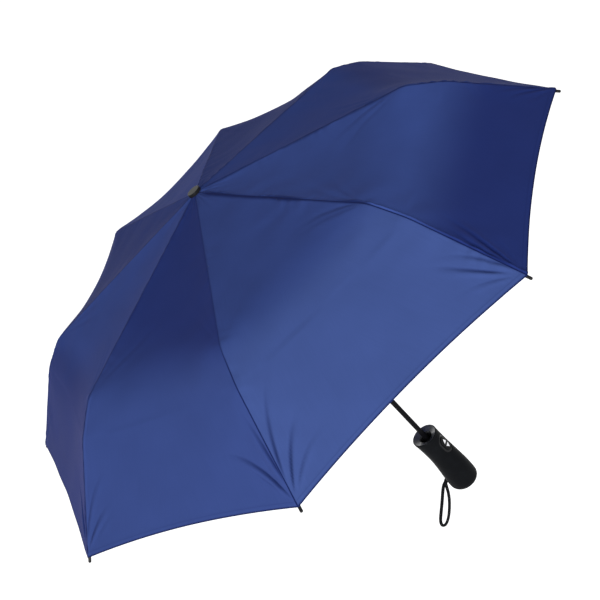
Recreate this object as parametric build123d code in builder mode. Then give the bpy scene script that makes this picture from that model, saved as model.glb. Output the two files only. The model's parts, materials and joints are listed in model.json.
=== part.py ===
"""A three-fold automatic umbrella, open, with its shaft upright.

Frame: +Z along the shaft towards the ferrule, origin on the shaft's axis at the middle of the grip,
push button towards -Y. Millimetres throughout.
"""
import os
from math import asin, atan2, cos, degrees, hypot, pi, radians, sin, tan

from build123d import *

os.makedirs("parts", exist_ok=True)

# ---- canopy, as radius and height of the fabric along a rib ----
RIB_COUNT = 8
FIRST_AZIMUTH = 22.5
RIM_RADIUS = 450.0
RIM_HEIGHT = 422.8
KNEE_RADIUS = 300.0
KNEE_HEIGHT = 550.2
BEND_RADIUS = 344.0
BEND_HEIGHT = 522.9
CANOPY_HOLE_RADIUS = 7.5
CANOPY_HOLE_HEIGHT = 601.4
FABRIC_THICKNESS = 0.45

# ---- crown, runner and shaft ----
CROWN_PIVOT_RADIUS = 11.0
CROWN_PIVOT_HEIGHT = 595.7
HUB_RADIUS = 13.5
HUB_HALF_HEIGHT = 3.0
SLOT_FLOOR_RADIUS = 8.4
CROWN_SLOT_WIDTH = 2.4
RUNNER_SLOT_WIDTH = 2.8
WIRE_RADIUS = 0.5
CAP_RADIUS = 9.7
CAP_BOTTOM = 602.0
CAP_TOP = 606.4
CAP_FILLET = 0.9
STEM_BOTTOM = 585.0
BOTTOM_TUBE = {"outer": 4.0, "inner": 3.3, "low": -25.0, "high": 220.0}
MIDDLE_TUBE = {"outer": 4.95, "inner": 4.06, "low": 193.0, "high": 380.0}
UPPER_TUBE = {"outer": 5.9, "inner": 5.01, "low": 350.0, "high": CROWN_PIVOT_HEIGHT + HUB_HALF_HEIGHT}
RUNNER_BORE_RADIUS = 5.96
RUNNER_SLEEVE_RADIUS = 8.2
RUNNER_SLEEVE_DROP = 32.0
RUNNER_HEAD_RADIUS = 13.0
SLIDING_GAP = 0.02

# ---- ribs, in the side view of one rib: x along the rib, y towards the fabric ----
RIB_TILT = 9.87
INNER_LENGTH = 146.65
MIDDLE_LENGTH = 146.65
UPPER_PIVOT_RISE = 2.8
KNEE_PIVOT_DROP = 3.4
STRETCHER_STATION = 90.0
STRETCHER_DROP = 0.4
STRETCHER_LENGTH = 123.0
STRETCHER_HALF = 1.1
INNER_HALF_HEIGHT = 2.0
INNER_HALF_WIDTH = 2.2
MIDDLE_HALF_HEIGHT = 1.8
MIDDLE_HALF_WIDTH = 2.0
CHANNEL_WALL = 0.6
INNER_SETBACK = 5.5         # from a piece's eye to its channel
MIDDLE_SETBACK = 4.5
CHANNEL_STOP = 2.5          # from the channel's end to its fork's pivot
EAR_RADIUS = 1.6
EYE_RADIUS = 1.5
EYE_HALF_WIDTH = 0.9
EYE_HOLE_RADIUS = 0.65
RING_EYE_HOLE_RADIUS = 0.6
PIN_RADIUS = 0.6
PIN_BURIED = 0.2            # how far a pin runs into the walls beside it
EAR_ROOT = 4.0              # length of channel that an ear or an eye grows from
EAR_SETBACK = 3.0           # from a fork's pivot back to where its ears leave the channel
OUTER_ROD_RADIUS = 1.2
OUTER_DEPTH = 2.6
OUTER_BEND_FILLET = 70.0
TIP_RADIUS = 1.9
TIP_OVERLAP = 7.0
TIP_REACH = 7.0
TIP_ROUNDING = 0.9          # share of its radius

# ---- handle: height, then half-widths towards the button, away from it and sideways ----
HANDLE_TOP = 61.0
HANDLE_BOTTOM = -61.0
COLLAR_HEIGHT = 5.0
COLLAR_RADIUS = 21.2
COLLAR_EDGE = 0.8           # chamfer of the rim, and its flat top's width
FUNNEL_LIP = 1.0
COLLAR_SKIRT = 3.0
GRIP_SECTIONS = [
    (56.0, 21.3, 20.8, 20.9),
    (29.0, 22.4, 18.9, 20.3),
    (5.0, 24.2, 19.4, 20.8),
    (-20.0, 25.6, 22.0, 22.4),
    (-42.0, 25.4, 24.2, 23.4),
    (-61.0, 23.6, 24.0, 22.6),
]
GRIP_END_FILLET = 13.0
WALL = 2.6
HOLLOW_TOP = 6.0
HOLLOW_BOTTOM = -57.0
SOCKET_RADIUS = 7.0
SOCKET_BOTTOM = -29.0
CUP_RADIUS = 11.0
CUP_WALL = 1.2
CUP_FLOOR = 35.0
PLUG_RADIUS = 9.0
PLUG_TOP = -57.6
BUTTON_HEIGHT = 33.0
BUTTON_SIZE = (26.0, 15.0)
BEZEL_SIZE = (34.0, 22.0)
BEZEL_DEPTH = 15.8
BEZEL_INSET = 0.9
BUTTON_BACK = 15.2
BUTTON_RISE = 0.7
BUTTON_GAP = 0.3
BUTTON_TRAVEL = 2.5
PAST_SURFACE = 12.0         # depth of a cut or blank that runs out through the handle's side
SLIDER_BOTTOM = 27.0
SLIDER_TOP = 30.0
SLIDER_SIZE = (18.0, 22.0)
SLIDER_OFFSET = -1.0        # its middle is this far from the tube's axis
SLIDER_WAY = 8.0            # extra length of the way that it slides in
SPRING_HEIGHT = 23.3
SPRING_RADIUS = 2.1
SPRING_WIRE_RADIUS = 0.3
SPRING_BACK = 6.8
SPRING_TURNS = 5
SPRING_END_GAP = 0.05
MARK_SIZE = 8.0
MARK_SPREAD = 4.4
MARK_DEPTH = 0.35
EYELET_HEIGHT = -48.0
EYELET_SIZE = (12.0, 7.0)
EYELET_FACE = 24.6
EYELET_BACK = 19.5

# ---- wrist strap: a flat band of 5.5 x 1.4, here as a round tube of the same section area ----
STRAP_RADIUS = 1.55
STRAP_ROUTE = [
    (2.6, EYELET_FACE, EYELET_HEIGHT),
    (2.6, 31.0, EYELET_HEIGHT),
    (0.8, 35.2, -51.6),
    (-3.4, 37.4, -60.0),
    (-7.4, 40.6, -72.0),
    (-11.6, 46.6, -85.0),
    (-16.4, 54.4, -98.4),
    (-21.4, 63.0, -111.0),
    (-25.6, 71.4, -120.0),
    (-28.6, 77.6, -123.4),
    (-30.2, 81.0, -119.6),
    (-27.8, 78.0, -110.4),
    (-23.0, 69.8, -98.4),
    (-18.2, 61.0, -86.0),
    (-13.8, 52.6, -73.8),
    (-9.6, 45.0, -62.4),
    (-5.8, 38.4, -53.6),
    (-2.6, 31.0, EYELET_HEIGHT),
    (-2.6, EYELET_FACE, EYELET_HEIGHT),
]


def finish(part, node):
    """Label one finished piece and write it."""
    part.label = node
    export_step(part, f"parts/{node}.step")


def rib_azimuth(index):
    return FIRST_AZIMUTH + index * 360.0 / RIB_COUNT


def side_plane(azimuth, radius, height, tilt):
    """Side view of a rib piece: origin at radius and height, x tilted down from the outward direction."""
    a, t = radians(azimuth), radians(tilt)
    return Plane(
        origin=(radius * cos(a), radius * sin(a), height),
        x_dir=(cos(a) * cos(t), sin(a) * cos(t), -sin(t)),
        z_dir=(sin(a), -cos(a), 0),
    )


def along(radius, height, tilt, x, y):
    """Radius and height of a point given in a side view with that origin and tilt."""
    t = radians(tilt)
    return radius + x * cos(t) + y * sin(t), height - x * sin(t) + y * cos(t)


# pivots at rest, as radius and height
UPPER_PIVOT = along(CROWN_PIVOT_RADIUS, CROWN_PIVOT_HEIGHT, RIB_TILT, INNER_LENGTH, UPPER_PIVOT_RISE)
KNEE_PIVOT = along(*UPPER_PIVOT, RIB_TILT, MIDDLE_LENGTH, -UPPER_PIVOT_RISE - KNEE_PIVOT_DROP)
STRETCHER_PIVOT = along(
    CROWN_PIVOT_RADIUS, CROWN_PIVOT_HEIGHT, RIB_TILT, STRETCHER_STATION, -STRETCHER_DROP
)
RUNNER_PIVOT_RADIUS = CROWN_PIVOT_RADIUS - STRETCHER_DROP
STRETCHER_INWARD = STRETCHER_PIVOT[0] - RUNNER_PIVOT_RADIUS
STRETCHER_TILT = 180.0 - degrees(asin((STRETCHER_LENGTH**2 - STRETCHER_INWARD**2) ** 0.5 / STRETCHER_LENGTH))
RUNNER_PIVOT_HEIGHT = STRETCHER_PIVOT[1] - (STRETCHER_LENGTH**2 - STRETCHER_INWARD**2) ** 0.5

# the outer rib lies a constant depth under the fabric between its bend and its tip
OUTER_TILT = degrees(atan2(BEND_HEIGHT - RIM_HEIGHT, RIM_RADIUS - BEND_RADIUS))
BEND = along(BEND_RADIUS, BEND_HEIGHT, OUTER_TILT, 0, -OUTER_DEPTH)
ROD_END = along(RIM_RADIUS, RIM_HEIGHT, OUTER_TILT, -1.0, -OUTER_DEPTH)
CHORD = (ROD_END[0] - KNEE_PIVOT[0], KNEE_PIVOT[1] - ROD_END[1])
CHORD_LENGTH = hypot(*CHORD)
CHORD_TILT = degrees(atan2(CHORD[1], CHORD[0]))


def outer_view(radius, height):
    """A point, given as radius and height, in the outer rib's side view, whose x is its chord."""
    t = radians(CHORD_TILT)
    out, up = radius - KNEE_PIVOT[0], height - KNEE_PIVOT[1]
    return out * cos(t) - up * sin(t), out * sin(t) + up * cos(t)


def channel(plane, start, end, centre, half_height, half_width):
    """An inverted U channel along x, open on the side away from the fabric; called inside a part."""
    with BuildSketch(plane) as block:
        with Locations(((start + end) / 2, centre)):
            Rectangle(end - start, 2 * half_height)
    extrude(block.sketch, amount=half_width, both=True)
    with BuildSketch(plane) as bore:
        with Locations(((start + end) / 2, centre - CHANNEL_WALL)):
            Rectangle(end - start, 2 * half_height)
    extrude(bore.sketch, amount=half_width - CHANNEL_WALL, both=True, mode=Mode.SUBTRACT)


def lug(plane, centre, radius, root, half_width):
    """A rounded lug from a pivot centre to a rectangle root = (x low, y low, x high, y high)."""
    with BuildSketch(plane) as outline:
        with Locations(centre):
            Circle(radius)
        with Locations(((root[0] + root[2]) / 2, (root[1] + root[3]) / 2)):
            Rectangle(root[2] - root[0], root[3] - root[1])
        make_hull()
    extrude(outline.sketch, amount=half_width, both=True)


def cross_disc(plane, centre, radius, half_width, mode):
    """A round pin or hole across the rib."""
    with BuildSketch(plane) as disc:
        with Locations(centre):
            Circle(radius)
    extrude(disc.sketch, amount=half_width, both=True, mode=mode)


def clear_fork(plane, low, high, half_width):
    """The gap between a fork's two ears, from corner low to corner high in the side view."""
    with BuildSketch(plane) as gap:
        with Locations(((low[0] + high[0]) / 2, (low[1] + high[1]) / 2)):
            Rectangle(high[0] - low[0], high[1] - low[1])
    extrude(gap.sketch, amount=half_width, both=True, mode=Mode.SUBTRACT)


def make_inner_rib(index):
    plane = side_plane(rib_azimuth(index), CROWN_PIVOT_RADIUS, CROWN_PIVOT_HEIGHT, RIB_TILT)
    pivot = (INNER_LENGTH, UPPER_PIVOT_RISE)
    station = (STRETCHER_STATION, -STRETCHER_DROP)
    fork_gap = INNER_HALF_WIDTH - CHANNEL_WALL
    ear_end = INNER_LENGTH - EAR_SETBACK
    ear_root = (ear_end - EAR_ROOT, -INNER_HALF_HEIGHT, ear_end, INNER_HALF_HEIGHT)
    eye_root = (INNER_SETBACK, -1.2, INNER_SETBACK + EAR_ROOT, 1.6)
    with BuildPart() as rib:
        lug(plane, pivot, EAR_RADIUS, ear_root, INNER_HALF_WIDTH)
        clear_fork(plane, (ear_root[0] - 1, -3), (INNER_LENGTH + 3, 6), fork_gap)
        channel(plane, INNER_SETBACK, INNER_LENGTH - CHANNEL_STOP, 0, INNER_HALF_HEIGHT, INNER_HALF_WIDTH)
        lug(plane, (0, 0), EYE_RADIUS, eye_root, EYE_HALF_WIDTH)
        cross_disc(plane, (0, 0), RING_EYE_HOLE_RADIUS, 2 * EYE_HALF_WIDTH, Mode.SUBTRACT)
        cross_disc(plane, pivot, PIN_RADIUS, INNER_HALF_WIDTH, Mode.ADD)
        cross_disc(plane, station, PIN_RADIUS, fork_gap + PIN_BURIED, Mode.ADD)
    finish(rib.part, f"inner_rib_{index + 1}")


def make_middle_rib(index):
    plane = side_plane(rib_azimuth(index), *UPPER_PIVOT, RIB_TILT)
    centre = -UPPER_PIVOT_RISE
    knee = (MIDDLE_LENGTH, centre - KNEE_PIVOT_DROP)
    fork_gap = MIDDLE_HALF_WIDTH - CHANNEL_WALL + 0.05
    low, high = centre - MIDDLE_HALF_HEIGHT, centre + MIDDLE_HALF_HEIGHT
    channel_end = MIDDLE_LENGTH - CHANNEL_STOP
    ear_end = MIDDLE_LENGTH - EAR_SETBACK
    ear_root = (ear_end - 2 * EAR_ROOT, low, ear_end, high)
    eye_root = (MIDDLE_SETBACK, centre - 0.6, MIDDLE_SETBACK + EAR_ROOT, high - 0.2)
    with BuildPart() as rib:
        lug(plane, knee, EAR_RADIUS, ear_root, MIDDLE_HALF_WIDTH)
        clear_fork(plane, (ear_root[0] - 1, knee[1] - 3), (MIDDLE_LENGTH + 3, high + 1), fork_gap)
        channel(plane, MIDDLE_SETBACK, channel_end, centre, MIDDLE_HALF_HEIGHT, MIDDLE_HALF_WIDTH)
        lug(plane, (0, 0), EYE_RADIUS, eye_root, EYE_HALF_WIDTH)
        cross_disc(plane, (0, 0), EYE_HOLE_RADIUS, 2 * EYE_HALF_WIDTH, Mode.SUBTRACT)
        cross_disc(plane, knee, PIN_RADIUS, MIDDLE_HALF_WIDTH, Mode.ADD)
    finish(rib.part, f"middle_rib_{index + 1}")


def make_stretcher(index):
    plane = side_plane(rib_azimuth(index), *STRETCHER_PIVOT, STRETCHER_TILT)
    with BuildPart() as bar:
        with BuildSketch(plane):
            with Locations((STRETCHER_LENGTH / 2, 0)):
                Rectangle(STRETCHER_LENGTH, 2 * STRETCHER_HALF)
            with Locations((0, 0), (STRETCHER_LENGTH, 0)):
                Circle(EYE_RADIUS)
        extrude(amount=STRETCHER_HALF, both=True)
        cross_disc(plane, (0, 0), EYE_HOLE_RADIUS, 2 * STRETCHER_HALF, Mode.SUBTRACT)
        cross_disc(plane, (STRETCHER_LENGTH, 0), RING_EYE_HOLE_RADIUS, 2 * STRETCHER_HALF, Mode.SUBTRACT)
    finish(bar.part, f"stretcher_{index + 1}")


def make_outer_rib(index):
    plane = side_plane(rib_azimuth(index), *KNEE_PIVOT, CHORD_TILT)
    bend = outer_view(*BEND)
    rise = bend[1] / bend[0]
    with BuildPart() as rod:
        with BuildLine(plane) as path:
            FilletPolyline((3, 3 * rise), bend, (CHORD_LENGTH, 0), radius=OUTER_BEND_FILLET)
        with BuildSketch(Plane(origin=path.line @ 0, z_dir=path.line % 0)):
            Circle(OUTER_ROD_RADIUS)
        sweep()
        lug(plane, (0, 0), EYE_RADIUS, (5, 5 * rise - 0.8, 8, 6 * rise + 0.8), EYE_HALF_WIDTH)
        cross_disc(plane, (0, 0), EYE_HOLE_RADIUS, 2 * EYE_HALF_WIDTH, Mode.SUBTRACT)
    finish(rod.part, f"outer_rib_{index + 1}")


def make_rib_tip(index):
    """A plastic tip on the rod's end, with a ball where it leaves the fabric's corner."""
    azimuth = radians(rib_azimuth(index))
    tilt = radians(OUTER_TILT)
    outward = Vector(cos(azimuth) * cos(tilt), sin(azimuth) * cos(tilt), -sin(tilt))
    end = Vector(ROD_END[0] * cos(azimuth), ROD_END[0] * sin(azimuth), ROD_END[1])
    with BuildPart() as tip:
        with BuildSketch(Plane(origin=end - outward * TIP_OVERLAP, z_dir=outward)):
            Circle(TIP_RADIUS)
            Circle(OUTER_ROD_RADIUS + SLIDING_GAP, mode=Mode.SUBTRACT)
        extrude(amount=TIP_OVERLAP)
        with BuildSketch(Plane(origin=end, z_dir=outward)):
            Circle(TIP_RADIUS)
        extrude(amount=TIP_REACH)
        fillet(tip.faces().sort_by(Axis(end, outward))[-1].edges(), TIP_RADIUS * TIP_ROUNDING)
    finish(tip.part, f"rib_tip_{index + 1}")


def slotted_hub(pivot_radius, pivot_height, head_radius, slot_width):
    """Radial slots and the ring wire's groove, cut in the part under construction."""
    with BuildSketch(Plane.XY.offset(pivot_height - HUB_HALF_HEIGHT)) as slots:
        with PolarLocations((SLOT_FLOOR_RADIUS + head_radius) / 2 + 1, RIB_COUNT, start_angle=FIRST_AZIMUTH):
            Rectangle(head_radius - SLOT_FLOOR_RADIUS + 2, slot_width)
    extrude(slots.sketch, amount=2 * HUB_HALF_HEIGHT, mode=Mode.SUBTRACT)
    with Locations((0, 0, pivot_height)):
        Torus(pivot_radius, WIRE_RADIUS + SLIDING_GAP, mode=Mode.SUBTRACT)


def make_crown():
    with BuildPart() as crown:
        with BuildSketch(Plane.XY.offset(CROWN_PIVOT_HEIGHT - HUB_HALF_HEIGHT)):
            Circle(HUB_RADIUS)
            Circle(UPPER_TUBE["outer"] + SLIDING_GAP, mode=Mode.SUBTRACT)
        extrude(amount=2 * HUB_HALF_HEIGHT)
        slotted_hub(CROWN_PIVOT_RADIUS, CROWN_PIVOT_HEIGHT, HUB_RADIUS, CROWN_SLOT_WIDTH)
    finish(crown.part, "crown")


def make_runner():
    with BuildPart() as runner:
        with BuildSketch(Plane.XY.offset(RUNNER_PIVOT_HEIGHT - RUNNER_SLEEVE_DROP)):
            Circle(RUNNER_SLEEVE_RADIUS)
        extrude(amount=RUNNER_SLEEVE_DROP + HUB_HALF_HEIGHT)
        with BuildSketch(Plane.XY.offset(RUNNER_PIVOT_HEIGHT - HUB_HALF_HEIGHT)):
            Circle(RUNNER_HEAD_RADIUS)
        extrude(amount=2 * HUB_HALF_HEIGHT)
        with BuildSketch(Plane.XY.offset(RUNNER_PIVOT_HEIGHT - RUNNER_SLEEVE_DROP)):
            Circle(RUNNER_BORE_RADIUS)
        extrude(amount=RUNNER_SLEEVE_DROP + HUB_HALF_HEIGHT, mode=Mode.SUBTRACT)
        slotted_hub(RUNNER_PIVOT_RADIUS, RUNNER_PIVOT_HEIGHT, RUNNER_HEAD_RADIUS, RUNNER_SLOT_WIDTH)
    finish(runner.part, "runner")


def make_ring_wire(node, radius, height):
    with BuildPart() as ring:
        with Locations((0, 0, height)):
            Torus(radius, WIRE_RADIUS)
    finish(ring.part, node)


def make_tube(node, tube):
    with BuildPart() as pipe:
        with BuildSketch(Plane.XY.offset(tube["low"])):
            Circle(tube["outer"])
            Circle(tube["inner"], mode=Mode.SUBTRACT)
        extrude(amount=tube["high"] - tube["low"])
    finish(pipe.part, node)


def make_ferrule_cap():
    with BuildPart() as cap:
        with BuildSketch(Plane.XY.offset(CAP_BOTTOM)):
            Circle(CAP_RADIUS)
        extrude(amount=CAP_TOP - CAP_BOTTOM)
        fillet(cap.edges().filter_by(GeomType.CIRCLE).sort_by(Axis.Z)[-1], CAP_FILLET)
        with BuildSketch(Plane.XY.offset(STEM_BOTTOM)):
            Circle(UPPER_TUBE["inner"] - SLIDING_GAP)
        extrude(amount=CAP_BOTTOM - STEM_BOTTOM)
    finish(cap.part, "ferrule_cap")


def octagon_stack(shift, mode):
    """The canopy's outer shape as flat facets, moved up by shift."""
    levels = [
        (RIM_RADIUS, RIM_HEIGHT),
        (BEND_RADIUS, BEND_HEIGHT),
        (KNEE_RADIUS, KNEE_HEIGHT),
        (CANOPY_HOLE_RADIUS, CANOPY_HOLE_HEIGHT),
    ]
    sections = []
    for radius, height in levels:
        with BuildSketch(Plane.XY.offset(height + shift)) as section:
            RegularPolygon(radius, RIB_COUNT, rotation=FIRST_AZIMUTH)
        sections.append(section.sketch)
    loft(sections, ruled=True, mode=mode)


def make_canopy():
    with BuildPart() as canopy:
        octagon_stack(FABRIC_THICKNESS / 2, Mode.ADD)
        octagon_stack(-FABRIC_THICKNESS / 2, Mode.SUBTRACT)
        with BuildSketch(Plane.XY.offset(CANOPY_HOLE_HEIGHT - 2)):
            Circle(CANOPY_HOLE_RADIUS - 1)
        extrude(amount=4, mode=Mode.SUBTRACT)
    finish(canopy.part, "canopy")


def handle_shape(inset, low, high):
    """The handle's outer shape, moved inwards by inset, between two heights."""
    with BuildPart(mode=Mode.PRIVATE) as shape:
        for height, front, back, side in GRIP_SECTIONS:
            with BuildSketch(Plane.XY.offset(height)):
                with Locations((0, (back - front) / 2)):
                    Ellipse(side - inset, (front + back) / 2 - inset)
        loft()
        fillet(shape.faces().sort_by(Axis.Z)[0].edges(), GRIP_END_FILLET - inset)
        split(bisect_by=Plane.XY.offset(low), keep=Keep.TOP)
        split(bisect_by=Plane.XY.offset(high), keep=Keep.BOTTOM)
    return shape.part


def oval(size):
    """An upright oval on the sketch plane that faces the button's way."""
    SlotOverall(size[0], size[1], rotation=90)


def button_plane(depth):
    """Plane across the button, depth behind the shaft side of the handle's front, facing -Y."""
    return Plane(origin=(0, -depth, BUTTON_HEIGHT), x_dir=(1, 0, 0), z_dir=(0, -1, 0))


def make_grip():
    outer = handle_shape(0, HANDLE_BOTTOM, HANDLE_TOP)
    hollow = handle_shape(WALL, HOLLOW_BOTTOM, HOLLOW_TOP)
    with BuildPart() as grip:
        add(outer)
        add(hollow, mode=Mode.SUBTRACT)
        with BuildSketch(Plane.XY.offset(SOCKET_BOTTOM)):
            Circle(SOCKET_RADIUS)
        extrude(amount=HOLLOW_TOP - SOCKET_BOTTOM)
        with BuildSketch(Plane.XY.offset(BOTTOM_TUBE["low"])):
            Circle(BOTTOM_TUBE["outer"] + SLIDING_GAP)
        extrude(amount=HANDLE_TOP - BOTTOM_TUBE["low"], mode=Mode.SUBTRACT)
        with BuildSketch(Plane.XY.offset(CUP_FLOOR - CUP_WALL)):
            Circle(CUP_RADIUS + CUP_WALL + SLIDING_GAP)
        extrude(amount=HANDLE_TOP - CUP_FLOOR, mode=Mode.SUBTRACT)
        with BuildSketch(Plane.XY.offset(HANDLE_BOTTOM)):
            Circle(PLUG_RADIUS + SLIDING_GAP)
        extrude(amount=HOLLOW_BOTTOM - HANDLE_BOTTOM, mode=Mode.SUBTRACT)
        with BuildSketch(button_plane(BEZEL_DEPTH)):
            oval((BEZEL_SIZE[0] + 2 * SLIDING_GAP, BEZEL_SIZE[1] + 2 * SLIDING_GAP))
        extrude(amount=PAST_SURFACE, mode=Mode.SUBTRACT)
        with BuildSketch(button_plane(BUTTON_BACK - BUTTON_TRAVEL - BUTTON_GAP)):
            oval((BUTTON_SIZE[0] + 2 * BUTTON_GAP, BUTTON_SIZE[1] + 2 * BUTTON_GAP))
        extrude(amount=PAST_SURFACE, mode=Mode.SUBTRACT)
        with BuildSketch(Plane.XY.offset(SLIDER_BOTTOM - BUTTON_GAP)):
            with Locations((0, SLIDER_OFFSET)):
                Rectangle(SLIDER_SIZE[0] + 2 * BUTTON_GAP, SLIDER_SIZE[1] + SLIDER_WAY)
        extrude(amount=SLIDER_TOP - SLIDER_BOTTOM + 2 * BUTTON_GAP, mode=Mode.SUBTRACT)
        with BuildSketch(Plane(origin=(0, -SPRING_BACK, SPRING_HEIGHT), x_dir=(1, 0, 0), z_dir=(0, -1, 0))):
            Circle(SPRING_RADIUS + 2 * SPRING_WIRE_RADIUS)
        extrude(amount=BUTTON_BACK - SPRING_BACK, mode=Mode.SUBTRACT)
        with BuildSketch(Plane(origin=(0, EYELET_BACK, EYELET_HEIGHT), x_dir=(1, 0, 0), z_dir=(0, 1, 0))):
            SlotOverall(EYELET_SIZE[0] + 2 * SLIDING_GAP, EYELET_SIZE[1] + 2 * SLIDING_GAP)
        extrude(amount=PAST_SURFACE, mode=Mode.SUBTRACT)
    finish(grip.part, "grip")


def make_collar():
    """The glossy funnel round the handle's mouth."""
    skirt = CUP_RADIUS + CUP_WALL
    base = HANDLE_TOP - COLLAR_HEIGHT
    with BuildPart() as collar:
        with BuildSketch(Plane.XZ):
            with BuildLine():
                Polyline(
                    (skirt, base),
                    (COLLAR_RADIUS, base),
                    (COLLAR_RADIUS, HANDLE_TOP - COLLAR_EDGE),
                    (COLLAR_RADIUS - COLLAR_EDGE, HANDLE_TOP),
                    (COLLAR_RADIUS - 2 * COLLAR_EDGE, HANDLE_TOP),
                    (CUP_RADIUS, base + FUNNEL_LIP),
                    (CUP_RADIUS, base - COLLAR_SKIRT),
                    (skirt, base - COLLAR_SKIRT),
                    close=True,
                )
            make_face()
        revolve(axis=Axis.Z)
    finish(collar.part, "collar")


def make_tip_cup():
    """The dark cup under the collar that takes the runner when the umbrella is shut."""
    top = HANDLE_TOP - COLLAR_HEIGHT - COLLAR_SKIRT
    with BuildPart() as cup:
        with BuildSketch(Plane.XY.offset(CUP_FLOOR - CUP_WALL)):
            Circle(CUP_RADIUS + CUP_WALL)
        extrude(amount=top - CUP_FLOOR + CUP_WALL)
        with BuildSketch(Plane.XY.offset(CUP_FLOOR)):
            Circle(CUP_RADIUS)
        extrude(amount=top - CUP_FLOOR, mode=Mode.SUBTRACT)
        with BuildSketch(Plane.XY.offset(CUP_FLOOR - CUP_WALL)):
            Circle(BOTTOM_TUBE["outer"] + SLIDING_GAP)
        extrude(amount=CUP_WALL, mode=Mode.SUBTRACT)
    finish(cup.part, "tip_cup")


def make_button_bezel():
    surface = handle_shape(BEZEL_INSET, HANDLE_BOTTOM, HANDLE_TOP)
    with BuildPart() as bezel:
        with BuildSketch(button_plane(BEZEL_DEPTH)):
            oval(BEZEL_SIZE)
            SlotOverall(
                BUTTON_SIZE[0] + 2 * BUTTON_GAP,
                BUTTON_SIZE[1] + 2 * BUTTON_GAP,
                rotation=90,
                mode=Mode.SUBTRACT,
            )
        extrude(amount=PAST_SURFACE)
        add(surface, mode=Mode.INTERSECT)
    finish(bezel.part, "button_bezel")


def make_button():
    surface = handle_shape(-BUTTON_RISE, HANDLE_BOTTOM, HANDLE_TOP)
    below_mark = handle_shape(-BUTTON_RISE + MARK_DEPTH, HANDLE_BOTTOM, HANDLE_TOP)
    with BuildPart() as mark:
        with BuildSketch(button_plane(BUTTON_BACK)):
            with Locations((0, MARK_SPREAD)):
                Triangle(a=MARK_SIZE, b=MARK_SIZE, c=MARK_SIZE)
            with Locations((0, -MARK_SPREAD)):
                Triangle(a=MARK_SIZE, b=MARK_SIZE, c=MARK_SIZE, rotation=180)
        extrude(amount=PAST_SURFACE)
        add(surface, mode=Mode.INTERSECT)
        add(below_mark, mode=Mode.SUBTRACT)
    finish(mark.part, "button_mark")
    stem_height = SLIDER_TOP - SLIDER_BOTTOM
    slider_front = SLIDER_SIZE[1] / 2 - SLIDER_OFFSET
    with BuildPart() as button:
        with BuildSketch(button_plane(BUTTON_BACK)):
            oval(BUTTON_SIZE)
        extrude(amount=PAST_SURFACE)
        add(surface, mode=Mode.INTERSECT)
        with BuildSketch(Plane(origin=(0, -BUTTON_BACK, 0), x_dir=(1, 0, 0), z_dir=(0, 1, 0))):
            with Locations((0, -(SLIDER_BOTTOM + SLIDER_TOP) / 2)):
                Rectangle(SLIDER_SIZE[0] / 2, stem_height)
        extrude(amount=BUTTON_BACK - slider_front)
        add(mark.part, mode=Mode.SUBTRACT)
    finish(button.part, "button")


def make_catch_slider():
    """The plate round the tube that the button pushes back to free the runner."""
    clear = BOTTOM_TUBE["outer"] + BUTTON_GAP
    with BuildPart() as slider:
        with BuildSketch(Plane.XY.offset(SLIDER_BOTTOM)):
            with Locations((0, SLIDER_OFFSET)):
                Rectangle(*SLIDER_SIZE)
            with Locations((0, -BUTTON_TRAVEL / 2)):
                SlotOverall(2 * clear + BUTTON_TRAVEL, 2 * clear, rotation=90, mode=Mode.SUBTRACT)
        extrude(amount=SLIDER_TOP - SLIDER_BOTTOM)
    finish(slider.part, "catch_slider")


def make_button_spring():
    length = BUTTON_BACK - SPRING_BACK - 2 * SPRING_WIRE_RADIUS - 2 * SPRING_END_GAP
    start = (0, -SPRING_BACK - SPRING_WIRE_RADIUS - SPRING_END_GAP, SPRING_HEIGHT)
    with BuildPart() as spring:
        with BuildLine() as coil:
            Helix(length / SPRING_TURNS, length, SPRING_RADIUS, center=start, direction=(0, -1, 0))
        with BuildSketch(Plane(origin=coil.line @ 0, z_dir=coil.line % 0)):
            Circle(SPRING_WIRE_RADIUS)
        sweep(is_frenet=True)
    finish(spring.part, "button_spring")


def make_end_plug():
    with BuildPart() as plug:
        with BuildSketch(Plane.XY.offset(HANDLE_BOTTOM)):
            Circle(PLUG_RADIUS)
        extrude(amount=PLUG_TOP - HANDLE_BOTTOM)
    finish(plug.part, "end_plug")


def make_strap_eyelet():
    with BuildPart() as eyelet:
        with BuildSketch(Plane(origin=(0, EYELET_BACK, EYELET_HEIGHT), x_dir=(1, 0, 0), z_dir=(0, 1, 0))):
            SlotOverall(*EYELET_SIZE)
        extrude(amount=EYELET_FACE - EYELET_BACK)
    finish(eyelet.part, "strap_eyelet")


def route_radii(points):
    """The largest tangent arc at each corner: 0.45 of its shorter run over the tangent of half its turn."""
    radii = []
    for before, here, after in zip(points, points[1:], points[2:]):
        first, second = Vector(*here) - Vector(*before), Vector(*after) - Vector(*here)
        turn = radians(first.get_angle(second))
        radii.append(0.45 * min(first.length, second.length) / tan(turn / 2))
    return radii


def make_strap():
    radii = route_radii(STRAP_ROUTE)
    with BuildPart() as strap:
        with BuildLine() as path:
            FilletPolyline(*STRAP_ROUTE, radius=radii)
        with BuildSketch(Plane(origin=path.line @ 0, z_dir=path.line % 0)):
            Circle(STRAP_RADIUS)
        sweep()
    finish(strap.part, "strap")
    length = path.wire().length
    print("strap length", round(length, 1), "radii", [round(r, 1) for r in radii])
    print("strap volume ratio", round(strap.part.volume / (pi * STRAP_RADIUS**2 * length), 4))


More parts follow.
